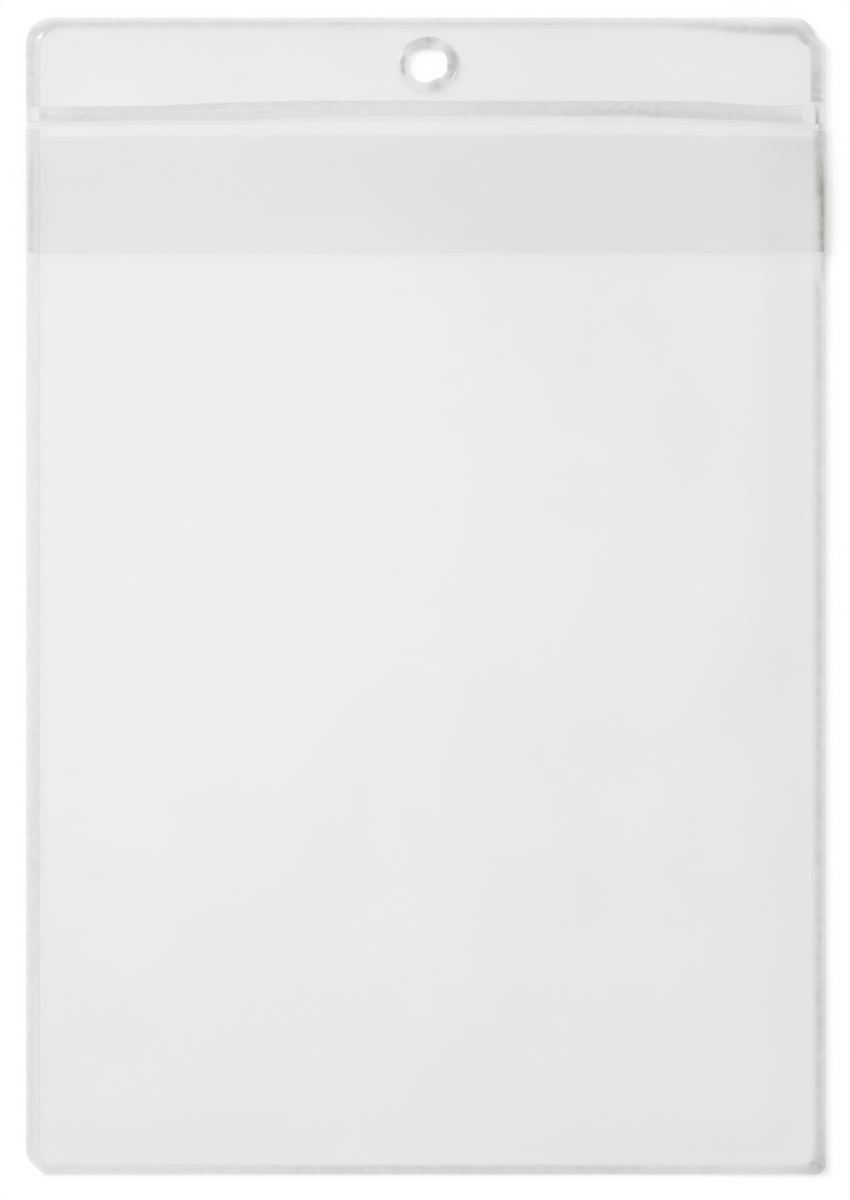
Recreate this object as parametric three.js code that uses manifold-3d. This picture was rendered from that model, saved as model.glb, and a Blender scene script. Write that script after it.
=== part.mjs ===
// Clear document pocket: three soft films joined by welds, with a hang hole in the header and a flap
// over the mouth. Millimetres. The pocket lies on its back on z = 0, with the header towards +Y, and
// the origin is under the middle of its outline.

import * as THREE from 'three';
import { mergeVertices } from 'three/addons/utils/BufferGeometryUtils.js';
import Module from 'manifold-3d';

const wasm = await Module();
wasm.setup();

// Outline
const pocketWidth = 231;
const pocketHeight = 334;
const topCornerRadius = 7.5;
const bottomCornerRadius = 3.2;

// Films and the spaces between them
const backFilm = 0.3;
const frontFilm = 0.3;
const flapFilm = 0.3;
const documentSpace = 0.5;
const flapRest = 0.3;
const foldClearance = 0.3;

// Welds: a pressed land, a low lip where the edge is cut, and a ridge of squeezed-out film inside. Along
// the top and the foot the weld has a narrower land than along the sides.
const seamWidth = 4.1;
const endSeamWidth = 3;
const landHeight = 0.15;
const lipHeight = 0.3;
const lipWidth = 0.7;
const ridgeHeight = 0.45;
const ridgeWidth = 1.1;
const headerInnerRadius = 6.2;
const pocketInnerRadius = 2.6;

// The front film is drawn down from its full height to the weld
const shoulderWidth = 5;
const shoulderRadius = 6.5;

// Hang hole and the weld round it
const holeDiameter = 10;
const ringWidth = 3.3;
const ringToSeam = 2.1;
const ringToCrease = 2.5;

// Crease weld, mouth and flap, each measured down from the one before
const creaseWidth = 4.4;
const creaseEndInset = 3.6;
const creaseEndRadius = 1.2;
const creaseInnerRadius = 0.4;
const mouthGap = 4.8;
const runOutGap = 2.3;
const foldInset = 0.3;
const flapRiseLead = 0.5;
const flapLength = 38.9;
const flapCornerRadius = 1;

// Facets
const cornerSteps = 10;
const ringSteps = 48;
const ridgeSteps = 6;
const slopeSteps = 8;
const foldSteps = 6;

// Places that follow from the sizes above
const halfWidth = pocketWidth / 2;
const halfHeight = pocketHeight / 2;
const holeRadius = holeDiameter / 2;
const ringRadius = holeRadius + ringWidth;
const holeY = halfHeight - endSeamWidth - ringToSeam - ringRadius;
const creaseTop = holeY - ringRadius - ringToCrease;
const creaseBottom = creaseTop - creaseWidth;
const mouthY = creaseBottom - mouthGap;
const runOutY = creaseBottom - runOutGap;
const foldY = creaseBottom - foldInset;
const foldZ = backFilm + ridgeHeight + foldClearance + flapFilm / 2;
const frontZ = backFilm + documentSpace;
const flapZ = frontZ + frontFilm + flapRest + flapFilm / 2;

function smoothStep(t) {
  return (1 - Math.cos(Math.PI * t)) / 2;
}

function arcPoints(centreX, centreY, radius, fromAngle, toAngle, steps) {
  return Array.from({ length: steps + 1 }, (_, i) => {
    const angle = fromAngle + ((toAngle - fromAngle) * i) / steps;
    return new THREE.Vector2(centreX + radius * Math.cos(angle), centreY + radius * Math.sin(angle));
  });
}

// How far in from the top or the foot a line lies that is this far in from the sides
function endInset(inset) {
  const sideLand = seamWidth - lipWidth - ridgeWidth;
  const acrossLand = THREE.MathUtils.clamp((inset - lipWidth) / sideLand, 0, 1);
  return inset - (seamWidth - endSeamWidth) * acrossLand;
}

// Up the left side, round the two top corners and down the right side, at an inset from the outline
function headerPath(inset, radius, legEnd) {
  const x = halfWidth - inset;
  const y = halfHeight - endInset(inset);
  return [
    new THREE.Vector2(-x, legEnd),
    ...arcPoints(-x + radius, y - radius, radius, Math.PI, Math.PI / 2, cornerSteps),
    ...arcPoints(x - radius, y - radius, radius, Math.PI / 2, 0, cornerSteps),
    new THREE.Vector2(x, legEnd),
  ];
}

// The same path for the bottom of the pocket: up side down, and still turning the same way
function pocketPath(inset, radius, legEnd) {
  return headerPath(inset, radius, -legEnd).map((p) => new THREE.Vector2(p.x, -p.y)).reverse();
}

// The other way round, as a hole in a clockwise outline turns
function circlePath(radius) {
  return arcPoints(0, holeY, radius, 0, 2 * Math.PI, ringSteps).slice(0, -1);
}

// A ridge from one height up to the crest and down to another, as stations across a weld
function ridge(startInset, startHeight, endHeight) {
  return Array.from({ length: 2 * ridgeSteps + 1 }, (_, i) => {
    const t = i / ridgeSteps;
    const foot = t < 1 ? startHeight : endHeight;
    const height = foot + (ridgeHeight - foot) * smoothStep(t < 1 ? t : 2 - t);
    return { inset: startInset + (ridgeWidth * t) / 2, height };
  });
}

// The upper face of a weld from its cut edge to the film beside it
function weldStations(width, film) {
  const lip = Array.from({ length: ridgeSteps + 1 }, (_, i) => {
    const t = i / ridgeSteps;
    return { inset: lipWidth * t, height: lipHeight + (landHeight - lipHeight) * smoothStep(t) };
  });
  return [...lip, ...ridge(width - ridgeWidth, landHeight, film)];
}

// The upper and lower faces of the front film between the weld and its full height
function shoulderStations() {
  return Array.from({ length: slopeSteps }, (_, i) => {
    const t = (i + 1) / slopeSteps;
    return { inset: seamWidth + shoulderWidth * t, height: documentSpace * smoothStep(t) };
  });
}

function signedVolume(positions, index) {
  const [a, b, c] = [new THREE.Vector3(), new THREE.Vector3(), new THREE.Vector3()];
  let sum = 0;
  for (let i = 0; i < index.length; i += 3) {
    a.fromArray(positions, 3 * index[i]);
    b.fromArray(positions, 3 * index[i + 1]);
    c.fromArray(positions, 3 * index[i + 2]);
    sum += a.dot(b.cross(c));
  }
  return sum;
}

// A closed solid from rows of points, one row for each corner of its section. The rows are joined in
// order and the last to the first. Its ends are capped, unless each row closes on itself.
function loft(stations, pathOf, ring = false) {
  const rows = stations.map(({ inset, height }) => pathOf(inset).map((p) => [p.x, p.y, backFilm + height]));
  const count = rows[0].length;
  const positions = rows.flat(2);
  const index = [];
  rows.forEach((_, r) => {
    const next = (r + 1) % rows.length;
    for (let i = 0; i < (ring ? count : count - 1); i += 1) {
      const j = (i + 1) % count;
      const [a, b, c, d] = [r * count + i, r * count + j, next * count + j, next * count + i];
      index.push(a, b, c, a, c, d);
    }
  });
  if (!ring) {
    const section = stations.map(({ inset, height }) => new THREE.Vector2(inset, height));
    THREE.ShapeUtils.triangulateShape(section, []).forEach(([a, b, c]) => {
      const clockwise = THREE.ShapeUtils.isClockWise(section);
      const [p, q] = clockwise ? [c, b] : [b, c];
      index.push(a * count, p * count, q * count);
      index.push(a * count + count - 1, q * count + count - 1, p * count + count - 1);
    });
  }
  if (signedVolume(positions, index) < 0) {
    index.reverse();
  }
  const geometry = new THREE.BufferGeometry();
  geometry.setAttribute('position', new THREE.Float32BufferAttribute(positions, 3));
  geometry.setIndex(index);
  return geometry;
}

function plate(outline, bottom, top, holes = []) {
  const shape = new THREE.Shape(outline);
  shape.holes = holes.map((hole) => new THREE.Path(hole));
  const geometry = new THREE.ExtrudeGeometry(shape, { depth: top - bottom, bevelEnabled: false });
  return geometry.translate(0, 0, bottom);
}

function solid(geometry) {
  const bare = new THREE.BufferGeometry();
  bare.setAttribute('position', geometry.getAttribute('position'));
  bare.setIndex(geometry.getIndex());
  const merged = mergeVertices(bare, 1e-5);
  return new wasm.Manifold(new wasm.Mesh({
    numProp: 3,
    vertProperties: merged.getAttribute('position').array,
    triVerts: Uint32Array.from(merged.getIndex().array),
  }));
}

function geometryOf(body) {
  const mesh = body.getMesh();
  const geometry = new THREE.BufferGeometry();
  geometry.setAttribute('position', new THREE.BufferAttribute(mesh.vertProperties, 3));
  geometry.setIndex(new THREE.BufferAttribute(mesh.triVerts, 1));
  return geometry;
}

function rectangle(x, fromY, toY) {
  return [
    new THREE.Vector2(-x, fromY),
    new THREE.Vector2(x, fromY),
    new THREE.Vector2(x, toY),
    new THREE.Vector2(-x, toY),
  ];
}

function roundedRectangle(x, fromY, toY, radius) {
  const quarter = Math.PI / 2;
  return [
    [-x + radius, toY - radius, 2 * quarter],
    [x - radius, toY - radius, quarter],
    [x - radius, fromY + radius, 0],
    [-x + radius, fromY + radius, -quarter],
  ].flatMap(([cx, cy, angle]) => arcPoints(cx, cy, radius, angle, angle - quarter, cornerSteps));
}

function headerRadius(inset) {
  return THREE.MathUtils.lerp(topCornerRadius, headerInnerRadius, inset / seamWidth);
}

function pocketRadius(inset) {
  if (inset <= seamWidth) {
    return THREE.MathUtils.lerp(bottomCornerRadius, pocketInnerRadius, inset / seamWidth);
  }
  return THREE.MathUtils.lerp(pocketInnerRadius, shoulderRadius, (inset - seamWidth) / shoulderWidth);
}

function backSheet() {
  const outline = [
    ...headerPath(0, topCornerRadius, 0).slice(1, -1),
    ...pocketPath(0, bottomCornerRadius, 0).slice(1, -1),
  ];
  return plate(outline, 0, backFilm, [circlePath(holeRadius)]);
}

function frontSheet() {
  const outline = pocketPath(seamWidth + shoulderWidth, shoulderRadius, mouthY);
  return plate(outline, frontZ, frontZ + frontFilm);
}

function headerFacing() {
  const outline = headerPath(seamWidth, headerInnerRadius, creaseTop);
  return plate(outline, backFilm, backFilm + flapFilm, [circlePath(ringRadius)]);
}

function headerSeam() {
  const stations = [{ inset: 0, height: 0 }, ...weldStations(seamWidth, flapFilm), { inset: seamWidth, height: 0 }];
  return loft(stations, (inset) => headerPath(inset, headerRadius(inset), creaseTop));
}

// The U-shaped weld with the shoulder of the front film. Past the mouth only the weld runs on.
function pocketSeam() {
  const upper = shoulderStations().map(({ inset, height }) => ({ inset, height: height + frontFilm }));
  const stations = [
    { inset: 0, height: 0 },
    ...weldStations(seamWidth, frontFilm),
    ...upper,
    ...shoulderStations().reverse(),
    { inset: seamWidth, height: 0 },
  ];
  const whole = solid(loft(stations, (inset) => pocketPath(inset, pocketRadius(inset), runOutY)));
  const aboveMouth = plate(rectangle(halfWidth - seamWidth, mouthY, creaseBottom), 0, frontZ + 2 * frontFilm);
  return geometryOf(whole.subtract(solid(aboveMouth)));
}

function holeRing() {
  const stations = [{ inset: 0, height: 0 }, ...weldStations(ringWidth, flapFilm), { inset: ringWidth, height: 0 }];
  return loft(stations, (inset) => circlePath(holeRadius + inset), true);
}

// A strip of the flap film as wide as the pocket, pressed down inside one closed ridge
function creaseSeam() {
  const pathOf = (inset) => roundedRectangle(
    halfWidth - creaseEndInset - inset,
    creaseBottom + inset,
    creaseTop - inset,
    THREE.MathUtils.lerp(creaseEndRadius, creaseInnerRadius, inset / ridgeWidth),
  );
  const strip = solid(plate(rectangle(halfWidth, creaseBottom, creaseTop), backFilm, backFilm + flapFilm));
  const press = solid(plate(pathOf(ridgeWidth), backFilm + landHeight, backFilm + ridgeHeight));
  const stations = [{ inset: 0, height: 0 }, ...ridge(0, flapFilm, landHeight), { inset: ridgeWidth, height: 0 }];
  return geometryOf(strip.subtract(press).add(solid(loft(stations, pathOf, true))));
}

// The flap rises from its fold to lie over the front film, and ends in a cut edge with round corners
function flap() {
  const rise = mouthGap - foldInset - flapRiseLead;
  const middle = Array.from({ length: slopeSteps + 1 }, (_, i) => {
    const t = i / slopeSteps;
    return new THREE.Vector2(foldY - rise * t, foldZ + (flapZ - foldZ) * smoothStep(t));
  });
  middle.push(new THREE.Vector2(foldY - flapLength, flapZ));
  const half = flapFilm / 2;
  const root = arcPoints(foldY, foldZ, half, -Math.PI / 2, Math.PI / 2, foldSteps);
  const top = middle.slice(1).map((p) => new THREE.Vector2(p.x, p.y + half));
  const bottom = middle.slice(1).map((p) => new THREE.Vector2(p.x, p.y - half)).reverse();
  const section = new THREE.Shape([...root, ...top, ...bottom]);
  const strip = new THREE.ExtrudeGeometry(section, { depth: pocketWidth, bevelEnabled: false });
  const alongX = new THREE.Matrix4().makeBasis(
    new THREE.Vector3(0, 1, 0),
    new THREE.Vector3(0, 0, 1),
    new THREE.Vector3(1, 0, 0),
  );
  strip.applyMatrix4(alongX).translate(-halfWidth, 0, 0);
  const cut = roundedRectangle(halfWidth, foldY - flapLength, creaseTop, flapCornerRadius);
  return geometryOf(solid(strip).intersect(solid(plate(cut, 0, flapZ + flapFilm))));
}

function clearFilm(color, opacity) {
  return new THREE.MeshStandardMaterial({ color, opacity, transparent: true, roughness: 0.12, metalness: 0 });
}

function piece(name, geometry, material) {
  const facets = geometry.index ? geometry.toNonIndexed() : geometry;
  facets.computeVertexNormals();
  const mesh = new THREE.Mesh(facets, material);
  mesh.name = name;
  return mesh;
}

const filmColor = 0xeceae8;
const weldColor = 0xdcdbd9;
const pocket = new THREE.Group();
pocket.name = 'clear_document_pocket';
pocket.add(
  piece('back_sheet', backSheet(), clearFilm(filmColor, 0.3)),
  piece('front_sheet', frontSheet(), clearFilm(filmColor, 0.3)),
  piece('header_facing', headerFacing(), clearFilm(filmColor, 0.3)),
  piece('flap', flap(), clearFilm(filmColor, 0.3)),
  piece('pocket_seam', pocketSeam(), clearFilm(weldColor, 0.4)),
  piece('header_seam', headerSeam(), clearFilm(weldColor, 0.4)),
  piece('crease_seam', creaseSeam(), clearFilm(weldColor, 0.4)),
  piece('hole_ring', holeRing(), clearFilm(weldColor, 0.4)),
);

export default pocket;
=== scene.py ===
"""The looks of a clear document pocket: four films and the four welds that hold them, on a white stage."""

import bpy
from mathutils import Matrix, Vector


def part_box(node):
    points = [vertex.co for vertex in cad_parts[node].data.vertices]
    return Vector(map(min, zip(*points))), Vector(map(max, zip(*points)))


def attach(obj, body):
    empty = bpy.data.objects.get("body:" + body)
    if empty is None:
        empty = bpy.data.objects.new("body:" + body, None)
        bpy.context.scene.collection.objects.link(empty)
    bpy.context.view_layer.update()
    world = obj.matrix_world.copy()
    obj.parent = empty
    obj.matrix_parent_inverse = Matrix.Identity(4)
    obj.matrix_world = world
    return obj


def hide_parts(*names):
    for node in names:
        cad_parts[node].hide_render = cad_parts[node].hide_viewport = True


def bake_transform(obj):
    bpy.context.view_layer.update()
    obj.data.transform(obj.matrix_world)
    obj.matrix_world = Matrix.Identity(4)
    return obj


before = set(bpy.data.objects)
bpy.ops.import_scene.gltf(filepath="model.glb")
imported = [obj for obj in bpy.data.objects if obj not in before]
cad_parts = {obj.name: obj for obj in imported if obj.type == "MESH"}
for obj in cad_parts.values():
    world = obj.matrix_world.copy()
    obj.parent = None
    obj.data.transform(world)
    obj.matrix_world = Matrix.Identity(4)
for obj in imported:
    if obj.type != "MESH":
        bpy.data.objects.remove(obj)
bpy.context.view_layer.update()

import math

import bmesh
import bpy
import numpy as np
from bpy.props import FloatProperty, FloatVectorProperty, PointerProperty

bl_info = {
    "name": "Clear document pocket",
    "version": (1, 0, 0),
    "blender": (4, 5, 0),
    "location": "3D View > Sidebar > Pocket",
    "description": "Builds the films, the welds and the stage of a clear document pocket",
    "category": "Object",
}

MM = 0.001
EDGE_ROUND = 0.05 * MM      # How far a film's cut edges are rounded
LAND_START = 0.7 * MM       # Where a weld's pressed land begins, in from its cut edge
CREASE_LIP = 0.12 * MM      # How far the crease weld's cut edge slopes in
CREASE_SHORT = 1.8 * MM     # How much farther the crease's bead ends from the right side than from the left
SEEN_FLOOR = 1.01           # How bright the floor looks where it is seen

back_low, back_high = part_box("back_sheet")
front_low, front_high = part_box("front_sheet")
crease_low, crease_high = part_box("crease_seam")
flap_low, flap_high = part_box("flap")
ring_low, ring_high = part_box("hole_ring")
run_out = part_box("pocket_seam")[1].y


def length(name, text, default, **more):
    unit = {"unit": "LENGTH", "subtype": "DISTANCE", "precision": 5}
    return FloatProperty(name=name, description=text, default=default, **unit, **more)


def colour(name, text, default):
    return FloatVectorProperty(name=name, description=text, default=default, size=3, subtype="COLOR", min=0, max=1)


def angle(name, text, degrees):
    return FloatProperty(name=name, description=text, default=math.radians(degrees), subtype="ANGLE")


def share(name, text, default):
    return FloatProperty(name=name, description=text, default=default, min=0, max=1, subtype="FACTOR", precision=4)


class PocketSizes(bpy.types.PropertyGroup):
    """Sizes of the films and welds."""

    film: length("Film", "Thickness of each film", 0.3 * MM)
    half_width: length("Half width", "From the middle to the pocket's cut edge", back_high.x)
    half_height: length("Half height", "From the middle to the top or bottom edge", back_high.y)
    top_corner: length("Top corner", "Radius of the two corners of the header", 7.6 * MM)
    bottom_corner: length("Bottom corner", "Radius of the two corners at the foot", 3.2 * MM)
    cell: length("Cell", "Size of a film's mesh cells", 4 * MM)
    seam: length("Seam", "Width of the weld along the pocket's sides", 4.1 * MM)
    end_seam: length("End seam", "Width of the weld along the top and the foot", 3 * MM)
    land: length("Land", "Height of a weld's pressed floor over the back film", 0.15 * MM)
    lip: length("Lip", "Height of a weld's cut edge over the back film", 0.3 * MM)
    ridge: length("Ridge", "Height of the squeezed-out bead over the back film", 0.45 * MM)
    bead: length("Bead", "Width of the squeezed-out bead", 1.1 * MM)
    shoulder: length("Shoulder", "Width over which the front film is drawn down to its weld", 16 * MM)
    hole: length("Hole", "Radius of the hang hole", 5 * MM)
    ring: length("Ring", "Outer radius of the weld round the hang hole", ring_high.x)
    hole_place: length("Hole's place", "Height of the hang hole's middle", (ring_low.y + ring_high.y) / 2)
    fuse: length("Fuse", "How deep a weld's base lies in the back film", 0.06 * MM)
    gap: length("Gap", "Air between films that lie on each other", 0.02 * MM)
    lap: length("Lap", "How far a film's edge reaches under its weld's bead", 0.12 * MM)
    crease_low: length("Crease's foot", "Lower edge of the crease weld", crease_low.y)
    crease_high: length("Crease's head", "Upper edge of the crease weld", crease_high.y)
    crease_end: length("Crease's end", "From the pocket's side to the end of the crease's bead", 3.6 * MM)
    mouth: length("Mouth", "Upper edge of the front film", front_high.y)
    run_out: length("Run-out", "Upper ends of the pocket's weld", run_out)
    flap_edge: length("Flap's edge", "Lower edge of the flap", flap_low.y)
    front_height: length("Front film's height", "Its middle, with the pocket empty", front_low.z - 0.1 * MM)
    flap_height: length("Flap's height", "Its middle, with the pocket empty", flap_high.z - 0.5 * MM)


class PocketLook(bpy.types.PropertyGroup):
    """Colours and clearness of the film and of its welds."""

    tint: colour("Film", "What one face of the clear film lets through", (0.9858, 0.9838, 0.9817))
    cloud: colour("Cloud", "What it lets through where it is a little cloudy", (0.9830, 0.9810, 0.9789))
    # Painted shade: this dark tint stands partly for the thick weld film's own tone and partly for the shade and
    # refraction that the clear shader lacks
    squeeze_and_shade: colour("Melted film", "What one face lets through where film is squeezed thick", (0.707, 0.703, 0.695))
    gleam: colour("Gleam", "Colour of what the film mirrors", (1.0, 1.0, 1.0))
    mirror: share("Mirror", "Share of light that a face mirrors when seen straight on", 0.036)
    haze: share("Haze", "Share of light that a face scatters", 0.004)
    roughness: share("Roughness", "Roughness of the gloss", 0.09)
    waves: length("Waves", "Depth of the long soft waves in the film's gloss", 0.7 * MM)
    peel: length("Peel", "Depth of the fine orange peel", 0.012 * MM)


class PocketStage(bpy.types.PropertyGroup):
    """The floor, the lamps and the camera."""

    floor: colour("Floor", "Colour of the floor", (0.80, 0.80, 0.80))
    drop: length("Drop", "How far the floor lies under the pocket", 0.3 * MM)
    lift: length("Lift", "How far the camera stands over the floor", 1.157)
    lens: FloatProperty(name="Lens", description="Focal length of the camera's lens", default=120.18, unit="CAMERA")
    aim_x: length("Aim across", "Point under the camera, across", -0.275 * MM)
    aim_y: length("Aim along", "Point under the camera, along", -1.157 * MM)
    key: FloatProperty(name="Key", description="Strength of the key lamp", default=2.5, min=0)
    key_height: angle("Key's height", "Angle of the key lamp over the floor", 40)
    key_side: angle("Key's side", "Angle of the key lamp round the pocket, from its top to its left", 58)
    key_spread: angle("Key's spread", "How wide the key lamp looks from the pocket", 24)
    sky_low: share("Sky at the horizon", "Brightness of the surroundings at eye level", 0.93)
    sky_high: share("Sky overhead", "Brightness of the surroundings overhead", 0.22)
    glow: FloatProperty(name="Glow", description="How much brighter the soft lamp overhead is", default=1.08, min=0)


def fresh():
    """Leaves edit mode with nothing selected."""
    if bpy.context.mode != "OBJECT":
        bpy.ops.object.mode_set(mode="OBJECT")
    bpy.ops.object.select_all(action="DESELECT")


def only(piece):
    fresh()
    piece.select_set(True)
    bpy.context.view_layer.objects.active = piece


def pick(piece, kind, test):
    """In edit mode, selects the vertices, edges or faces that pass the test."""
    bpy.ops.mesh.select_mode(type=kind)
    bpy.ops.mesh.select_all(action="DESELECT")
    mesh = bmesh.from_edit_mesh(piece.data)
    for part in {"VERT": mesh.verts, "EDGE": mesh.edges, "FACE": mesh.faces}[kind]:
        if test(part):
            part.select_set(True)
    mesh.select_flush_mode()
    bmesh.update_edit_mesh(piece.data)


def blank(name, half_x, low, high, top_corner=0.0, bottom_corner=0.0):
    """A flat film cut to its outline: a plane at its size, with its corners rounded. It is left in edit mode."""
    fresh()
    middle = (0, (low + high) / 2, 0)
    bpy.ops.mesh.primitive_plane_add(size=1, location=(0, 0, 0))
    piece = bpy.context.object
    piece.name = piece.data.name = name
    bpy.ops.object.mode_set(mode="EDIT")
    bpy.ops.transform.resize(value=(2 * half_x, high - low, 1), center_override=(0, 0, 0))
    bpy.ops.transform.translate(value=middle)
    for radius, at in ((top_corner, high), (bottom_corner, low)):
        if radius > 0:
            pick(piece, "VERT", lambda v: abs(v.co.y - at) < 1e-6)
            bpy.ops.mesh.bevel(offset_type="OFFSET", offset=radius, segments=10, profile=0.5, affect="VERTICES")
    return piece


def cross_cut(piece, axis, places):
    """Cuts a blank into strips, so that it can bend."""
    for place in places:
        bpy.ops.mesh.select_all(action="SELECT")
        at, way = [0.0, 0.0, 0.0], [0.0, 0.0, 0.0]
        at[axis], way[axis] = place, 1.0
        bpy.ops.mesh.bisect(plane_co=at, plane_no=way)


def steps(start, end, size):
    """Places between two ends, about size apart, without the ends."""
    count = max(2, round((end - start) / size))
    return [start + (end - start) * i / count for i in range(1, count)]


def apply(piece, kind, **settings):
    only(piece)
    modifier = piece.modifiers.new(kind.title(), kind)
    for name, value in settings.items():
        setattr(modifier, name, value)
    bpy.ops.object.modifier_apply(modifier=modifier.name)


def punch(piece, radius, y):
    """Punches a round hole through a film with a cutter, which is then thrown away."""
    fresh()
    bpy.ops.mesh.primitive_cylinder_add(vertices=96, radius=radius, depth=0.01, location=(0, y, 0))
    cutter = bpy.context.object
    apply(piece, "BOOLEAN", object=cutter, operation="DIFFERENCE", solver="EXACT")
    bpy.data.objects.remove(cutter)


def thicken(piece, film):
    """Gives a film its thickness about its middle."""
    only(piece)
    apply(piece, "SOLIDIFY", thickness=film, offset=0, use_even_offset=True)


def soften_edges(piece, width):
    apply(piece, "BEVEL", width=width, segments=2, limit_method="ANGLE", angle_limit=math.radians(50))


def smooth(t):
    t = np.clip(t, 0, 1)
    return t * t * (3 - 2 * t)


def hump(value, start, top, end):
    """Rises from 0 at start to 1 at top and falls back to 0 at end."""
    return np.where(value < top, smooth((value - start) / (top - start)), smooth((end - value) / (end - top)))


def curve(value, *points):
    """Reads a line drawn from point to point, each a pair of a place and the line's height there."""
    places, heights = zip(*points)
    return np.interp(value, places, heights)


def upper_bow(x):
    """How far the crease weld's upper edge strays along the pocket."""
    return MM * curve(x, (-0.108, -1.5), (-0.08, -1.35), (-0.057, -0.25), (-0.028, 0.2),
                      (0.079, 0.1), (0.095, -1.15), (0.106, -1.4), (0.111, -0.2))


def lower_bow(x):
    """How far its lower edge strays, and the flap's root with it."""
    return MM * curve(x, (-0.108, -1.35), (-0.08, -0.85), (-0.057, -0.8), (-0.028, 0.4), (0.021, 0.45),
                      (0.062, 0.2), (0.08, -0.75), (0.095, -1.25), (0.106, -2.1))


def mouth_bow(x):
    """How far the front film's upper edge strays."""
    return MM * curve(x, (-0.115, -0.3), (-0.08, -0.15), (-0.057, -0.1), (-0.028, -0.62),
                      (0.001, -0.66), (0.062, -0.42), (0.079, 0.0), (0.106, 0.45))


HOLE_PLACE = (ring_low.y + ring_high.y) / 2
# The hole's dented rim: turns in degrees, from the right and against the clock, and millimetres outward
HOLE_DENTS = ((0, -0.1), (20, 0.3), (45, 0.75), (68, -0.1), (90, -0.4), (112, -0.15), (135, 0.2), (158, 0.2),
              (180, -0.1), (202, 0.25), (225, 0.5), (250, 0.1), (272, -0.3), (295, -0.85), (315, -0.25),
              (338, 0.1), (360, -0.1))


def hole_shift(x, y):
    """How far the film round the hang hole strays, across and along: it lies aside and down, is wider and dented."""
    up = y - HOLE_PLACE
    radius = np.hypot(x, up)
    turn = np.degrees(np.arctan2(up, x)) % 360
    pull = curve(turn, *HOLE_DENTS) * MM * smooth((7.2 * MM - radius) / (2.2 * MM)) / radius.clip(MM)
    aside = (0.7 * MM + 0.085 * x) * smooth((13 * MM - radius) / (4 * MM))
    down = 0.5 * MM * smooth((10.8 * MM - radius) / (2.8 * MM))
    return aside + pull * x, pull * up - down


def corner_shift(x, y):
    """How far the worn upper right corner is drawn in, across and along, with the weld on both sides of it."""
    to_side, to_top = back_high.x - x, back_high.y - y
    inner = 0.9 * MM * smooth(1 - np.hypot(x - 0.110, y - 0.162) / 0.007)
    inner *= smooth((np.minimum(to_side, to_top) - MM) / (2.5 * MM))
    outer = 1.87 * MM * np.maximum(1 - (to_side + to_top) / (10.4 * MM), 0) ** 1.43
    side_weld = 0.45 * MM * hump(to_side, 2 * MM, 4.1 * MM, 9 * MM) * smooth((y - 0.139) / 0.004)
    top_weld = MM * curve(x, (0.060, 0), (0.069, 0.3), (0.081, 1.0), (0.0925, 2.1), (0.103, 2.2))
    top_weld *= hump(to_top, 0.5 * MM, 2.6 * MM, 9 * MM)
    return -inner - outer - side_weld, -inner - outer - top_weld


def settled(points):
    """Where points of the flat pocket lie once the soft pocket has settled on the stage."""
    x, y, z = points.T
    bow = upper_bow(x) * hump(y, crease_low.y, crease_high.y, 0.155)
    bow += lower_bow(x) * hump(y, 0.126, crease_low.y, crease_high.y)
    flare = hump(y, 0.086, 0.112, 0.141) * smooth((x - 0.1) / 0.015)
    trimmed = 0.46 * np.maximum(5.3 * MM - (x + y + back_high.x + back_high.y), 0)
    corner_across, corner_along = corner_shift(x, y)
    hole_across, hole_along = hole_shift(x, y)
    across = 0.2 * MM * flare + trimmed + corner_across + hole_across
    along = bow + trimmed + corner_along + hole_along
    # The film lies in long waves, and a little off the stage along its right side
    waves = 0.5 + 0.25 * np.sin(31 * x + 17 * y + 0.6) + 0.25 * np.sin(23 * y - 12 * x + 1.9)
    right = smooth((x - 0.06) / 0.055)
    head = smooth(1 - np.hypot(x - 0.115, y - 0.167) / 0.06)
    foot = smooth(1 - np.hypot(x - 0.115, y + 0.167) / 0.05)
    rise = (0.10 * waves + 0.35 * right + 0.3 * flare + 0.4 * head + 0.25 * foot) * MM
    return np.stack([x + across, y + along, z + rise], axis=1)


def points_of(piece):
    points = np.empty(3 * len(piece.data.vertices))
    piece.data.vertices.foreach_get("co", points)
    return points.reshape(-1, 3)


def move_to(piece, points):
    piece.data.vertices.foreach_set("co", points.astype(np.float32).ravel())
    piece.data.update()


def lift(piece, height):
    move_to(piece, points_of(piece) + np.array([0, 0, height]))


def mark(piece, name, values):
    """Writes one number for each vertex, for a material or a later step to read."""
    layer = piece.data.attributes.new(name, "FLOAT", "POINT")
    layer.data.foreach_set("value", values.astype(np.float32))


def mark_squeeze_and_shade(piece, values):
    """Marks how dark a piece is painted, from 0 to 1.5, which the material reads from 0 to 1: partly the thick weld
    film's own tone, partly painted shade.
    """
    mark(piece, "squeeze_and_shade", np.clip(values / 1.5, 0, 1))


def take_inset(piece):
    """Reads how far in from the cut edge a weld's points are, and drops that mark."""
    layer = piece.data.attributes["inset"]
    values = np.empty(len(layer.data))
    layer.data.foreach_get("value", values)
    piece.data.attributes.remove(layer)
    return values


def finish_piece(piece, material, node, body):
    """Lays a piece as the pocket settles, paints it and puts it in its CAD node's place."""
    move_to(piece, settled(points_of(piece)))
    piece.data.materials.clear()
    piece.data.materials.append(material)
    only(piece)
    bpy.ops.object.shade_smooth_by_angle(angle=math.radians(40))
    if piece.name.endswith("film"):
        apply(piece, "WEIGHTED_NORMAL", keep_sharp=True)
    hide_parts(node)
    if body:
        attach(piece, body)
    fresh()


def shader(name):
    """A new material with nothing but its output."""
    material = bpy.data.materials.new(name)
    material.use_nodes = True
    material.node_tree.nodes.clear()
    return material, material.node_tree, material.node_tree.nodes.new("ShaderNodeOutputMaterial")


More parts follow.
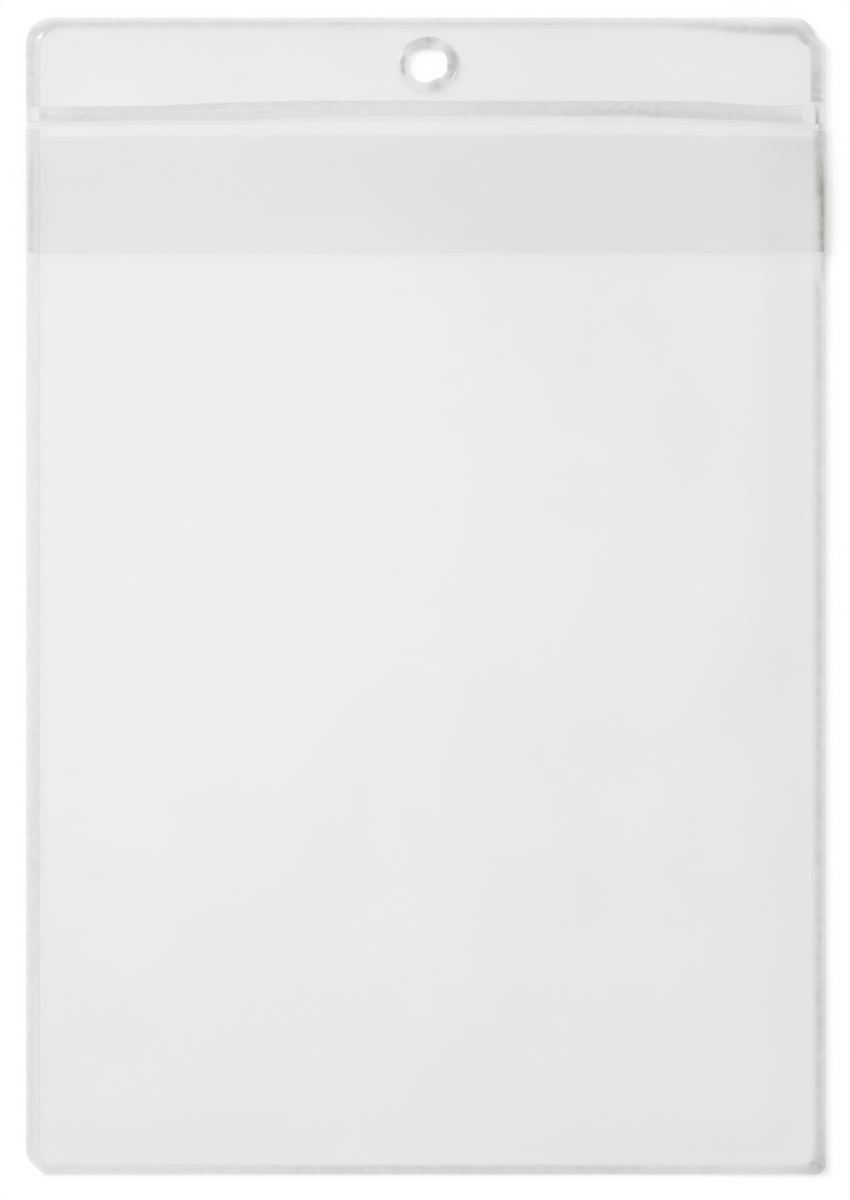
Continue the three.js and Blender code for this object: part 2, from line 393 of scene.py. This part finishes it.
def add(tree, kind, inputs=(), **settings):
    """A node with its settings, and its inputs set or linked."""
    node = tree.nodes.new(kind)
    for key, value in settings.items():
        setattr(node, key, value)
    for key, value in dict(inputs).items():
        if isinstance(value, bpy.types.NodeSocket):
            tree.links.new(value, node.inputs[key])
        else:
            node.inputs[key].default_value = value
    return node


def noise(tree, place, scale, detail, **more):
    """Procedural noise with this many bumps to a metre."""
    return add(tree, "ShaderNodeTexNoise", {"Vector": place, "Scale": scale, "Detail": detail, **more}).outputs["Fac"]


def spread(tree, value, start, end, low, high, **settings):
    """Turns a value between start and end into one between low and high."""
    sockets = {"Value": value, "From Min": start, "From Max": end, "To Min": low, "To Max": high}
    return add(tree, "ShaderNodeMapRange", sockets, **settings).outputs["Result"]


def maths(tree, operation, *values, **settings):
    return add(tree, "ShaderNodeMath", dict(enumerate(values)), operation=operation, **settings).outputs[0]


def mixed(tree, factor, first, second):
    """Mixes two colours."""
    return add(tree, "ShaderNodeMix", {"Factor": factor, 6: first, 7: second}, data_type="RGBA").outputs[2]


def bumped(tree, height, distance, **more):
    return add(tree, "ShaderNodeBump", {"Height": height, "Strength": 1.0, "Distance": distance, **more}).outputs[0]


def layered(tree, factor, first, second):
    """Mixes two shaders."""
    return add(tree, "ShaderNodeMixShader", {0: factor, 1: first.outputs[0], 2: second.outputs[0]})


def clear_film(name, look, roughness, squeezed_and_shaded=False):
    """Clear soft film: see-through with a warm tint, a gloss with long waves, orange peel and hairlines, and a trace
    of haze. Where its mark says, it is darker: partly the thick weld film's own tone, partly painted shade."""
    material, tree, out = shader(name)
    place = add(tree, "ShaderNodeTexCoord").outputs["Object"]
    cloud = noise(tree, place, 11.0, 3.0, Roughness=0.6)
    fleck = noise(tree, place, 420.0, 3.0, Roughness=0.65)
    through = mixed(tree, cloud, (*look.tint, 1), (*look.cloud, 1))
    if squeezed_and_shaded:
        # Painted shade: the mark darkens what the film lets through, partly for the thick weld film and partly for
        # shade
        squeeze_and_shade = add(tree, "ShaderNodeAttribute", attribute_name="squeeze_and_shade").outputs["Fac"]
        uneven = spread(tree, fleck, 0.3, 0.7, 0.65, 1.3)
        through = mixed(tree, maths(tree, "MULTIPLY", squeeze_and_shade, uneven, use_clamp=True), through, (*look.squeeze_and_shade, 1))
    slant = {"Vector": place, "Rotation": (0, 0, 0.6), "Scale": (16.0, 900.0, 1.0)}
    hairs = noise(tree, add(tree, "ShaderNodeMapping", slant).outputs[0], 1.0, 2.0)
    hairline = spread(tree, hairs, 0.66, 0.74, 0.0, 0.1)
    rough = spread(tree, fleck, 0.3, 0.7, roughness * 0.8, roughness * 1.3)
    rough = maths(tree, "ADD", rough, hairline, use_clamp=True)
    waves = bumped(tree, noise(tree, place, 17.0, 1.0, Roughness=0.4), look.waves)
    bump = bumped(tree, noise(tree, place, 1500.0, 2.0), look.peel, Normal=waves)
    facing = add(tree, "ShaderNodeLayerWeight", {"Blend": 0.5}).outputs["Facing"]
    steep = maths(tree, "POWER", facing, 5.0)
    mirror = maths(tree, "MULTIPLY_ADD", steep, 1 - look.mirror, look.mirror, use_clamp=True)
    see = add(tree, "ShaderNodeBsdfTransparent", {"Color": through})
    milk = add(tree, "ShaderNodeBsdfDiffuse", {"Color": (0.9, 0.9, 0.89, 1)})
    gloss = add(tree, "ShaderNodeBsdfGlossy", {"Color": (*look.gleam, 1), "Roughness": rough, "Normal": bump})
    whole = layered(tree, mirror, layered(tree, look.haze, see, milk), gloss)
    tree.links.new(whole.outputs[0], out.inputs["Surface"])
    return material


def film_material(look):
    return bpy.data.materials.get("soft_film") or clear_film("soft_film", look, look.roughness)


def weld_material(look):
    # The welds' and the flap's film, darkened by painted shade where its mark says
    known = bpy.data.materials.get("squeezed_and_shaded_film")
    return known or clear_film("squeezed_and_shaded_film", look, look.roughness * 1.5, squeezed_and_shaded=True)


def low_film(s):
    """Height of the middle of a film that lies on the back film."""
    return s.film * 1.5 + s.gap


class POCKET_OT_back_film(bpy.types.Operator):
    """The back film, cut to the pocket's outline and punched for the hang hole"""

    bl_idname = "pocket.back_film"
    bl_label = "Back film"

    def execute(self, context):
        s, look = context.scene.pocket_sizes, context.scene.pocket_look
        film = blank("back_film", s.half_width, -s.half_height, s.half_height, s.top_corner, s.bottom_corner)
        cross_cut(film, 0, steps(-s.half_width, s.half_width, s.cell))
        cross_cut(film, 1, steps(-s.half_height, s.half_height, s.cell))
        for half, axis in ((s.half_width, 0), (s.half_height, 1)):
            cross_cut(film, axis, [side * (half - d * MM) for side in (-1, 1) for d in (1, 2, 3, 6)])
        thicken(film, s.film)
        punch(film, s.hole, s.hole_place)
        soften_edges(film, EDGE_ROUND)
        lift(film, s.film / 2)
        finish_piece(film, film_material(look), "back_sheet", "pocket")
        return {"FINISHED"}


class POCKET_OT_front_film(bpy.types.Operator):
    """The front film, drawn down to its weld along both sides and the foot, and open at its mouth"""

    bl_idname = "pocket.front_film"
    bl_label = "Front film"

    def execute(self, context):
        s, look = context.scene.pocket_sizes, context.scene.pocket_look
        half, foot = s.half_width - s.seam + s.lap, -s.half_height + s.end_seam - s.lap
        film = blank("front_film", half, foot, s.mouth, 0, s.bottom_corner * 0.7)
        near = [s.shoulder * i / 7 for i in range(1, 8)]
        cross_cut(film, 0, [-half + d for d in near] + [half - d for d in near])
        cross_cut(film, 1, [foot + d for d in near])
        cross_cut(film, 0, steps(-half + s.shoulder, half - s.shoulder, s.cell))
        cross_cut(film, 1, steps(foot + s.shoulder, s.mouth, s.cell))
        fresh()
        x, y, z = points_of(film).T
        corner = np.hypot(np.minimum(half - np.abs(x) - s.shoulder, 0), np.minimum(y - foot - s.shoulder, 0))
        drawn = smooth(1 - corner / s.shoulder)
        low = low_film(s)
        billow = 0.07 * MM * (np.sin(26 * x + 9 * y) + np.sin(19 * y - 14 * x + 1.1)) * drawn
        z = low + (s.front_height - low) * drawn + billow
        y = y + mouth_bow(x) * smooth((y - s.mouth + 0.03) / 0.03)
        move_to(film, np.stack([x, y, z], axis=1))
        thicken(film, s.film)
        soften_edges(film, EDGE_ROUND)
        finish_piece(film, film_material(look), "front_sheet", "pocket")
        return {"FINISHED"}


class POCKET_OT_header_film(bpy.types.Operator):
    """The upper part of the flap's strip, which faces the header"""

    bl_idname = "pocket.header_film"
    bl_label = "Header film"

    def execute(self, context):
        s, look = context.scene.pocket_sizes, context.scene.pocket_look
        half, top = s.half_width - s.seam + s.lap, s.half_height - s.end_seam + s.lap
        low = s.crease_high - s.lap
        film = blank("header_film", half, low, top, 6.2 * MM, 0)
        cross_cut(film, 0, steps(-half, half, s.cell))
        cross_cut(film, 1, steps(low, top, s.cell))
        thicken(film, s.film)
        punch(film, s.ring - s.lap, s.hole_place)
        lift(film, low_film(s))
        finish_piece(film, film_material(look), "header_facing", "pocket")
        return {"FINISHED"}


def flap_edge_shade(s, x, y):
    """Painted shade along the flap's side edges, from the flap's foot up: the dark line and shadow of its lifted cut
    edge, darkest on the right.
    """
    edge = (s.half_width - np.abs(x)) / MM
    left = curve(y, (0.122, 0.24), (0.130, 0.04))
    right = curve(y, (0.100, 0.9), (0.112, 1.14), (0.120, 0.74), (0.126, 0.1), (0.1325, 0.12), (0.1348, 0.12),
                  (0.1362, 0.45))
    line = curve(y, (0.120, 1.28), (0.128, 1.6))
    # Painted shade, a little darker towards the right side
    shade = 0.045 * smooth((x - 0.094) / 0.012)
    return np.where(x > 0, right, left) * hump(edge, line - 0.95, line, line + 1.6) + shade


class POCKET_OT_flap_film(bpy.types.Operator):
    """The free part of the strip: it rises from the crease over the mouth and lies on the front film"""

    bl_idname = "pocket.flap_film"
    bl_label = "Flap film"

    def execute(self, context):
        s, look = context.scene.pocket_sizes, context.scene.pocket_look
        root = s.crease_low + s.lap
        film = blank("flap_film", s.half_width, s.flap_edge, root, 0, 1.2 * MM)
        cross_cut(film, 0, steps(-s.half_width + 3 * MM, s.half_width - 3 * MM, s.cell))
        near = [d * MM for d in (0.3, 0.6, 0.9, 1.2, 1.6, 2.2, 3.0)]
        cross_cut(film, 0, [d - s.half_width for d in near] + [s.half_width - d for d in near])
        rise_end = s.crease_low - 1.7 * MM
        cross_cut(film, 1, steps(rise_end, root, 0.22 * MM) + [rise_end])
        cross_cut(film, 1, steps(rise_end - 2.4 * MM, rise_end, 0.3 * MM))
        cross_cut(film, 1, [s.flap_edge + 0.3 * MM] + steps(s.flap_edge, rise_end - 2.4 * MM, s.cell))
        fresh()
        x, y, z = points_of(film).T
        low = low_film(s)
        lying = smooth((s.crease_low - y) / (s.crease_low - rise_end))
        ends = 0.12 * MM * smooth((np.abs(x) - 0.08) / 0.035) * lying
        z = low + (s.flap_height - low) * lying + ends
        move_to(film, np.stack([x, y, z], axis=1))
        thicken(film, s.film)
        soften_edges(film, EDGE_ROUND)
        x, y, z = points_of(film).T
        # Painted shade along the flap's cut edges
        mark_squeeze_and_shade(film, flap_edge_shade(s, x, y))
        finish_piece(film, weld_material(look), "flap", None)
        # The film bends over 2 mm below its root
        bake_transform(film)
        return {"FINISHED"}


def weld_section(s, width, film):
    """The section of a weld as (inset, height) pairs: a cut lip, the pressed land and the squeezed-out bead. Its base
    is sunk a little into the back film, which it is fused to."""
    def between(a, b, t):
        return a + (b - a) * float(smooth(t))
    crest = width - s.bead / 2
    lip = [(0.0, -s.fuse), (0.0, s.lip * 0.75), (0.07 * MM, s.lip)]
    fifths = (0.2, 0.4, 0.6, 0.8, 1.0)
    slope = [(0.1 * MM + (LAND_START - 0.1 * MM) * t, between(s.lip, s.land, t)) for t in (0.25, 0.5, 0.75, 1.0)]
    floor = [(LAND_START + (width - s.bead - LAND_START) * t, s.land) for t in fifths]
    outer = [(width - s.bead + s.bead / 2 * t, between(s.land, s.ridge, t)) for t in fifths]
    inner = [(crest + s.bead / 2 * t, between(s.ridge, film, t)) for t in fifths]
    return lip + slope + floor + outer + inner + [(width, -s.fuse)]


def end_inset(s, inset):
    """How far in from the top or the foot a weld's line lies that is this far in from the sides: its land is narrower
    there."""
    return inset - (s.seam - s.end_seam) * np.clip((inset - LAND_START) / (s.seam - s.bead - LAND_START), 0, 1)


def rounded_loop(piece, half_x, half_y, z, radius, cuts):
    """Adds a closed line to a weld: a plane with rounded corners, less its face, its long sides cut up."""
    bpy.ops.mesh.select_mode(type="VERT")
    bpy.ops.mesh.select_all(action="DESELECT")
    bpy.ops.mesh.primitive_plane_add(size=1, location=(0, 0, 0))
    bpy.ops.transform.resize(value=(2 * half_x, 2 * half_y, 1), center_override=(0, 0, 0))
    bpy.ops.transform.translate(value=(0, 0, z))
    bpy.ops.mesh.bevel(offset_type="OFFSET", offset=radius, segments=12, profile=0.5, affect="VERTICES")
    bpy.ops.mesh.delete(type="ONLY_FACE")
    pick(piece, "EDGE", lambda e: not e.link_faces and e.calc_length() > 0.02)
    bpy.ops.mesh.subdivide(number_cuts=cuts)


def bridge(piece, rows):
    """Joins two lines of a weld, which are known by the millimetre that they stand at."""
    pick(piece, "VERT", lambda v: round(v.co.z / MM) in rows)
    bpy.ops.mesh.select_mode(type="EDGE")
    bpy.ops.mesh.bridge_edge_loops()


def framed_weld(name, s, section, radii, cuts=110):
    """A weld all round the pocket. The lines of its section are stacked a millimetre apart, bridged one to the next
    and the last to the first, and then let down to their heights."""
    fresh()
    bpy.ops.mesh.primitive_plane_add(size=MM, location=(0, 0, 0))
    piece = bpy.context.object
    piece.name = piece.data.name = name
    bpy.ops.object.mode_set(mode="EDIT")
    bpy.ops.mesh.delete(type="VERT")
    for row, (inset, height) in enumerate(section):
        radius = radii[0] + (radii[1] - radii[0]) * inset / s.seam
        rounded_loop(piece, s.half_width - inset, s.half_height - end_inset(s, inset), row * MM, radius, cuts)
        if row:
            bridge(piece, (row - 1, row))
    bridge(piece, (len(section) - 1, 0))
    fresh()
    points = points_of(piece)
    insets, heights = np.array(section).T
    rows = np.rint(points[:, 2] / MM).astype(int)
    points[:, 2] = s.film + heights[rows]
    move_to(piece, points)
    mark(piece, "inset", insets[rows])
    return piece


def cut_off(piece, y, upper):
    """Cuts a weld straight across at y, closes the cut and throws the upper or lower part away."""
    only(piece)
    bpy.ops.object.mode_set(mode="EDIT")
    bpy.ops.mesh.select_all(action="SELECT")
    sides = {"clear_outer": upper, "clear_inner": not upper}
    bpy.ops.mesh.bisect(plane_co=(0, y, 0), plane_no=(0, 1, 0), use_fill=True, **sides)
    bpy.ops.mesh.select_all(action="SELECT")
    bpy.ops.mesh.normals_make_consistent(inside=False)
    fresh()


def pocket_weld_shade(s, x, y, inset):
    """How dark the weld along the sides and the foot is painted: partly the thick weld film's own tone, partly
    painted shade. Its land is pale on the left and dark on the right, away from the key lamp, and the foot is darkest
    in its middle and at its right end."""
    deep, inset = end_inset(s, inset) / MM, inset / MM
    outer = curve(y, (-0.131, 0.24), (-0.073, 0.25), (-0.015, 0.19), (0.042, 0.14), (0.09, 0.16))
    inner = curve(y, (-0.131, 0.09), (-0.073, 0.29), (-0.015, 0.15), (0.042, 0.12), (0.09, 0.07))
    left = outer * curve(inset, (0, 0.4), (1, 0.75), (1.8, 1), (2.6, 0))
    left += inner * curve(inset, (1.8, 0), (2.6, 1), (3.5, 1), (4.0, 0.3))

    band = curve(y, (-0.158, 0.8), (-0.131, 0.82), (-0.073, 0.82), (-0.015, 0.7), (0.042, 0.64), (0.088, 0.66),
                 (0.0925, 0.05), (0.0985, 0.05), (0.102, 0.2), (0.113, 0.4), (0.118, 1.08), (0.123, 1.04),
                 (0.127, 0.86), (0.134, 0.6))
    across = curve(inset, (0.1, 0), (0.6, 0.15), (1.0, 0.4), (1.6, 0.74), (1.9, 0.89), (2.2, 0.95), (2.8, 0.69),
                   (3.4, 0.25), (3.9, 0))
    across += 0.2 * smooth((-0.1 - y) / 0.02) * hump(inset, -0.2, 1.0, 2.0)
    across += 0.3 * smooth((-0.152 - y) / 0.004) * hump(inset, -0.1, 1.3, 3.4)
    right = 0.03 + band * across
    # Its painted dark line steps outward at the flap's foot, and lies on the bead beside the flap's root
    right += hump(y, 0.0885, 0.0955, 0.107) * hump(inset, -0.1, 1.0, 2.3)
    right += 0.45 * hump(inset, 1.6, 2.9, 3.9) * smooth((y - 0.1145) / 0.003) * smooth((0.136 - y) / 0.003)
    right += 0.22 * hump(inset, 1.9, 2.8, 3.7) * hump(y, 0.080, 0.088, 0.0935)

    foot = curve(x, (-0.107, 0.3), (-0.1, 0.18), (-0.065, 0.3), (-0.022, 0.56), (0.022, 0.58), (0.065, 0.5),
                 (0.0935, 0.29), (0.108, 0.55), (0.113, 0.5))
    foot *= smooth(3.05 - deep) * (0.15 + 0.85 * smooth(deep / 0.6))
    at_foot = smooth((-y - 0.160) / 0.003)
    squeeze_and_shade = np.where(x < 0, left, right) * (1 - at_foot) + foot * at_foot
    # The lower right corner is painted darkest, and the trimmed lower left corner not at all
    squeeze_and_shade += 0.5 * smooth(1 - np.hypot(x - 0.1132, y + 0.1648) / 0.0055)
    return squeeze_and_shade * (1 - smooth(1.4 - np.hypot(x + 0.114, y + 0.1655) / 0.004))


def header_weld_shade(s, x, y, inset):
    """How dark the header's weld is painted: partly the thick weld film's own tone, partly painted shade. Its top and
    its right side are darkest towards their corner.
    """
    deep, inset = end_inset(s, inset) / MM, inset / MM
    strength = curve(x, (-0.096, 0.5), (-0.065, 0.43), (-0.022, 0.38), (0.022, 0.38), (0.056, 0.28), (0.069, 0.33),
                     (0.081, 0.6), (0.0925, 0.74), (0.103, 0.78))
    start = curve(x, (0.06, 0.4), (0.08, 0.2), (0.095, 0.9))
    end = curve(x, (-0.108, 3.8), (-0.1, 2.9), (0.06, 2.9), (0.0925, 2.9), (0.1, 3.4))
    top = 0.04 + strength * hump(deep, start, 1.9, end)
    left = 0.17 + 0.17 * hump(inset, -0.6, 1.5, 3.4)
    left *= 1 - 0.55 * smooth((inset - 2.5) / 0.8)
    right = curve(y, (0.142, 0.74), (0.150, 0.66), (0.155, 0.5), (0.160, 0.4)) * smooth((inset - 0.5) / 1.9)
    right += 0.12 * smooth((inset - 1.9) / 0.4) * smooth((0.150 - y) / 0.003)
    right *= 1 - 0.5 * smooth((inset - 3.4) / 0.6)
    at_top = s.half_height - y < s.half_width - np.abs(x)
    squeeze_and_shade = np.where(at_top, top, np.where(x < 0, left, right))
    squeeze_and_shade += 0.42 * smooth(1 - np.hypot(x - 0.1108, y - 0.1622) / 0.0018)
    return squeeze_and_shade + 0.35 * smooth(1 - np.hypot(x - 0.1115, y - 0.1652) / 0.0045)


class POCKET_OT_edge_welds(bpy.types.Operator):
    """The weld round the pocket's sides and foot, and the weld round its header"""

    bl_idname = "pocket.edge_welds"
    bl_label = "Edge welds"

    def execute(self, context):
        s, look = context.scene.pocket_sizes, context.scene.pocket_look
        section = weld_section(s, s.seam, s.film)
        pocket = framed_weld("pocket_weld", s, section, (s.bottom_corner, 2.6 * MM))
        cut_off(pocket, s.run_out, upper=True)
        x, y, z = points_of(pocket).T
        mark_squeeze_and_shade(pocket, pocket_weld_shade(s, x, y, take_inset(pocket)))
        finish_piece(pocket, weld_material(look), "pocket_seam", "pocket")

        header = framed_weld("header_weld", s, section, (s.top_corner, 6.2 * MM))
        cut_off(header, s.crease_high, upper=False)
        x, y, z = points_of(header).T
        mark_squeeze_and_shade(header, header_weld_shade(s, x, y, take_inset(header)))
        finish_piece(header, weld_material(look), "header_seam", "pocket")
        return {"FINISHED"}


def crease_weld_shade(s, x, up):
    """How dark the crease weld is painted, with up at -1 along its lower edge and at 1 along its upper edge: partly
    the thick weld film's own tone, partly painted shade. A painted dark line runs along its lower side, and one short
    painted dark tick lies between its right end and the pocket's side."""
    end = s.half_width - s.crease_end
    inside = smooth((end - np.where(x > 0, x + CREASE_SHORT, -x)) / (0.8 * MM))
    body = curve(x, (-0.107, 0.0), (-0.1, 0.13), (-0.08, 0.14), (-0.065, 0.14), (-0.028, 0.15), (0.001, 0.12),
                 (0.021, 0.18), (0.045, 0.22), (0.062, 0.18), (0.095, 0.2), (0.105, 0.06))
    upper = curve(x, (-0.11, 0.08), (-0.09, 0.13), (-0.07, 0.13), (-0.05, 0.03)) * hump(up, 0.25, 0.68, 1.1)
    lower = curve(x, (-0.11, 0.34), (-0.1, 0.28), (-0.08, 0.1), (-0.04, 0.0), (0.0, 0.0), (0.022, 0.08),
                  (0.045, 0.15), (0.062, 0.56), (0.08, 0.34), (0.095, 0.26), (0.105, 0.4))
    lower *= hump(up, -1.1, -0.62, -0.1)
    left_bead = 0.2 * hump(x, -end, 0.9 * MM - end, 2.4 * MM - end)
    left_lip = 0.2 * hump(s.half_width + x, -0.4 * MM, 0.9 * MM, 2.0 * MM)
    tick = 1.6 * hump(s.half_width - x, 1.7 * MM, 2.5 * MM, 3.4 * MM)
    tick = 1.5 * np.minimum(1, tick) * smooth((0.05 - up) / 0.35)
    return inside * (body + upper + lower) + left_bead + left_lip + tick


class POCKET_OT_crease_weld(bpy.types.Operator):
    """The straight weld that the flap folds along: a strip with one closed bead and a pressed land in it"""

    bl_idname = "pocket.crease_weld"
    bl_label = "Crease weld"

    def execute(self, context):
        s, look = context.scene.pocket_sizes, context.scene.pocket_look
        middle = (s.crease_low + s.crease_high) / 2
        half = (s.crease_high - s.crease_low) / 2
        strip = blank("crease_weld", s.half_width, -half, half)
        end = s.half_width - s.crease_end
        bpy.ops.mesh.select_all(action="SELECT")
        bpy.ops.mesh.extrude_region_move(TRANSFORM_OT_translate={"value": (0, 0, s.film)})
        pick(strip, "FACE", lambda f: f.normal.z > 0.9)
        bpy.ops.mesh.inset(thickness=CREASE_LIP)
        bpy.ops.transform.resize(value=(end / (s.half_width - CREASE_LIP), 1, 1), center_override=(0, 0, 0))
        last = 0.0
        for inset, height in [(0.2, 0.36), (0.4, 0.43), (0.55, 0.45), (0.7, 0.42), (0.9, 0.26), (1.1, 0.15)]:
            bpy.ops.mesh.inset(thickness=(inset - last) * MM)
            z = next(f.calc_center_median().z for f in bmesh.from_edit_mesh(strip.data).faces if f.select)
            bpy.ops.transform.translate(value=(0, 0, height * MM - z))
            last = inset
        cross_cut(strip, 0, steps(4 * MM - s.half_width, s.half_width - 4 * MM, s.cell))
        near = [d * MM for d in (0.5, 0.9, 1.3, 1.7, 2.1, 2.6, 3.2, 4.0)]
        cross_cut(strip, 0, [d - s.half_width for d in near] + [s.half_width - d for d in near])
        fresh()
        x, y, z = points_of(strip).T
        z = np.where(z < 0.01 * MM, s.film - s.fuse, s.film + z)
        x = x - CREASE_SHORT * smooth((x - end + 4 * MM) / (3 * MM)) * smooth((s.half_width - x) / (2 * MM))
        move_to(strip, np.stack([x, y + middle, z], axis=1))
        mark_squeeze_and_shade(strip, crease_weld_shade(s, x, y / half))
        finish_piece(strip, weld_material(look), "crease_seam", "pocket")
        return {"FINISHED"}


def ring_weld_shade(s, x, y):
    """How dark the weld round the hole is painted: partly the thick weld film's own tone, partly painted shade. Turns
    are in degrees, from the right and against the clock, and the inset runs from 0 at the hole to 1 at the ring's
    outer edge."""
    turn = np.degrees(np.arctan2(y, x)) % 360
    inset = (np.hypot(x, y) - s.hole) / (s.ring - s.hole)
    top_left = 0.58 * hump(turn, 62, 96, 168) * smooth(inset / 0.15)
    left = 1.4 * smooth((turn - 151) / 15) * smooth((208 - turn) / 15) * hump(inset, 0.3, 0.58, 0.86)
    side = np.minimum(turn, 360 - turn) * np.where(turn < 180, 1, -1)
    right = 0.8 * smooth((side + 56) / 28) * smooth((60 - side) / 24) * hump(inset, -0.5, 0.55, 1.15)
    right += 0.5 * smooth(1 - np.hypot((side - 17) / 20, (inset - 0.75) / 0.35))
    right += 0.25 * smooth(1 - np.hypot((side + 4) / 24, (inset - 0.1) / 0.3))
    low = 0.75 * hump(turn, 252, 292, 320) * hump(inset, -0.3, 0.45, 1.1)
    return 0.06 + top_left + left + right + low


class POCKET_OT_hole_weld(bpy.types.Operator):
    """The round weld about the hang hole, pressed a little unevenly"""

    bl_idname = "pocket.hole_weld"
    bl_label = "Hole weld"

    def execute(self, context):
        s, look = context.scene.pocket_sizes, context.scene.pocket_look
        fresh()
        section = weld_section(s, s.ring - s.hole, s.film)
        bpy.ops.mesh.primitive_circle_add(vertices=96, radius=s.hole, location=(0, 0, 0), fill_type="NOTHING")
        ring = bpy.context.object
        ring.name = ring.data.name = "hole_weld"
        bpy.ops.object.mode_set(mode="EDIT")
        bpy.ops.mesh.select_mode(type="EDGE")
        bpy.ops.mesh.select_all(action="SELECT")
        last = section[0]
        for inset, height in section[1:]:
            bpy.ops.mesh.extrude_region_move()
            grow = (s.hole + inset) / (s.hole + last[0])
            bpy.ops.transform.resize(value=(grow, grow, 1), center_override=(0, 0, 0))
            bpy.ops.transform.translate(value=(0, 0, height - last[1]))
            last = (inset, height)
        pick(ring, "EDGE", lambda e: len(e.link_faces) == 1)
        bpy.ops.mesh.bridge_edge_loops()
        bpy.ops.mesh.select_all(action="SELECT")
        bpy.ops.mesh.normals_make_consistent(inside=False)
        fresh()
        x, y, z = points_of(ring).T
        move_to(ring, np.stack([x, y + s.hole_place, z + s.film], axis=1))
        mark_squeeze_and_shade(ring, ring_weld_shade(s, x, y))
        finish_piece(ring, weld_material(look), "hole_ring", "pocket")
        return {"FINISHED"}


def floor_material(stage):
    """A white floor: its own pale colour takes the light and the shadows, and what that lacks of white is added
    where it is seen, mirrored or looked at through something clear."""
    material, tree, out = shader("white_floor")
    path = add(tree, "ShaderNodeLightPath").outputs
    seen = maths(tree, "MAXIMUM", path["Is Camera Ray"], path["Is Glossy Ray"])
    seen = maths(tree, "MAXIMUM", seen, path["Is Transmission Ray"])
    strength = maths(tree, "MULTIPLY", seen, SEEN_FLOOR - stage.floor[0])
    paper = add(tree, "ShaderNodeBsdfDiffuse", {"Color": (*stage.floor, 1)})
    glow = add(tree, "ShaderNodeEmission", {"Color": (1, 1, 1, 1), "Strength": strength})
    both = add(tree, "ShaderNodeAddShader", {0: paper.outputs[0], 1: glow.outputs[0]})
    tree.links.new(both.outputs[0], out.inputs["Surface"])
    return material


class POCKET_OT_stage(bpy.types.Operator):
    """A white floor, a soft key lamp from the upper left, pale surroundings and the camera straight above"""

    bl_idname = "pocket.stage"
    bl_label = "Stage"

    def execute(self, context):
        stage, scene = context.scene.pocket_stage, context.scene
        fresh()
        bpy.ops.mesh.primitive_plane_add(size=12, location=(0, 0, -stage.drop))
        floor = context.object
        floor.name = "floor"
        floor.data.materials.append(floor_material(stage))

        bpy.ops.object.light_add(type="SUN", location=(-0.5, 0.4, 0.8))
        key = context.object
        key.name = "key_lamp"
        key.rotation_euler = (math.pi / 2 - stage.key_height, 0, stage.key_side + math.pi)
        key.data.energy, key.data.angle = stage.key, stage.key_spread

        world = bpy.data.worlds.new("studio")
        scene.world = world
        world.use_nodes = True
        tree = world.node_tree
        tree.nodes.clear()
        place = add(tree, "ShaderNodeTexCoord").outputs["Generated"]
        height = add(tree, "ShaderNodeSeparateXYZ", {"Vector": place}).outputs["Z"]
        ease = {"interpolation_type": "SMOOTHSTEP"}
        level = spread(tree, height, 0.1, 0.95, stage.sky_low, stage.sky_high, **ease)
        # The soft lamp is a round glow nearly overhead
        off = add(tree, "ShaderNodeVectorMath", {0: place, 1: (-0.08, 0.03, 1.0)}, operation="DISTANCE")
        lamp = spread(tree, off.outputs["Value"], 0.0, 0.34, stage.glow, 0.0, **ease)
        light = maths(tree, "ADD", level, lamp)
        sky = add(tree, "ShaderNodeBackground", {"Color": light, "Strength": 1.0})
        out = add(tree, "ShaderNodeOutputWorld")
        tree.links.new(sky.outputs[0], out.inputs["Surface"])

        camera = bpy.data.cameras.new("camera")
        camera.lens, camera.sensor_width, camera.clip_start = stage.lens, 36, 0.01
        eye = bpy.data.objects.new("camera", camera)
        eye.location = (stage.aim_x, stage.aim_y, stage.lift)
        scene.collection.objects.link(eye)
        scene.camera = eye
        scene.view_settings.view_transform = "Standard"
        scene.cycles.transparent_max_bounces = 32
        return {"FINISHED"}


PIECES = (
    POCKET_OT_back_film,
    POCKET_OT_front_film,
    POCKET_OT_header_film,
    POCKET_OT_flap_film,
    POCKET_OT_edge_welds,
    POCKET_OT_crease_weld,
    POCKET_OT_hole_weld,
    POCKET_OT_stage,
)


class POCKET_PT_panel(bpy.types.Panel):
    """Lists the pocket's pieces and its stage"""

    bl_idname = "POCKET_PT_panel"
    bl_label = "Clear document pocket"
    bl_space_type = "VIEW_3D"
    bl_region_type = "UI"
    bl_category = "Pocket"

    def draw(self, context):
        for operator in PIECES:
            self.layout.operator(operator.bl_idname)
        for group in ("pocket_sizes", "pocket_look", "pocket_stage"):
            values = getattr(context.scene, group)
            box = self.layout.box()
            for name in values.__annotations__:
                box.prop(values, name)


GROUPS = {"pocket_sizes": PocketSizes, "pocket_look": PocketLook, "pocket_stage": PocketStage}


def register():
    for name, group in GROUPS.items():
        bpy.utils.register_class(group)
        setattr(bpy.types.Scene, name, PointerProperty(type=group))
    for operator in PIECES:
        bpy.utils.register_class(operator)
    bpy.utils.register_class(POCKET_PT_panel)


def unregister():
    bpy.utils.unregister_class(POCKET_PT_panel)
    for operator in reversed(PIECES):
        bpy.utils.unregister_class(operator)
    for name, group in GROUPS.items():
        delattr(bpy.types.Scene, name)
        bpy.utils.unregister_class(group)


def main():
    register()
    bpy.ops.pocket.stage()
    bpy.ops.pocket.back_film()
    bpy.ops.pocket.front_film()
    bpy.ops.pocket.header_film()
    bpy.ops.pocket.flap_film()
    bpy.ops.pocket.edge_welds()
    bpy.ops.pocket.crease_weld()
    bpy.ops.pocket.hole_weld()


if __name__ == "__main__":
    main()
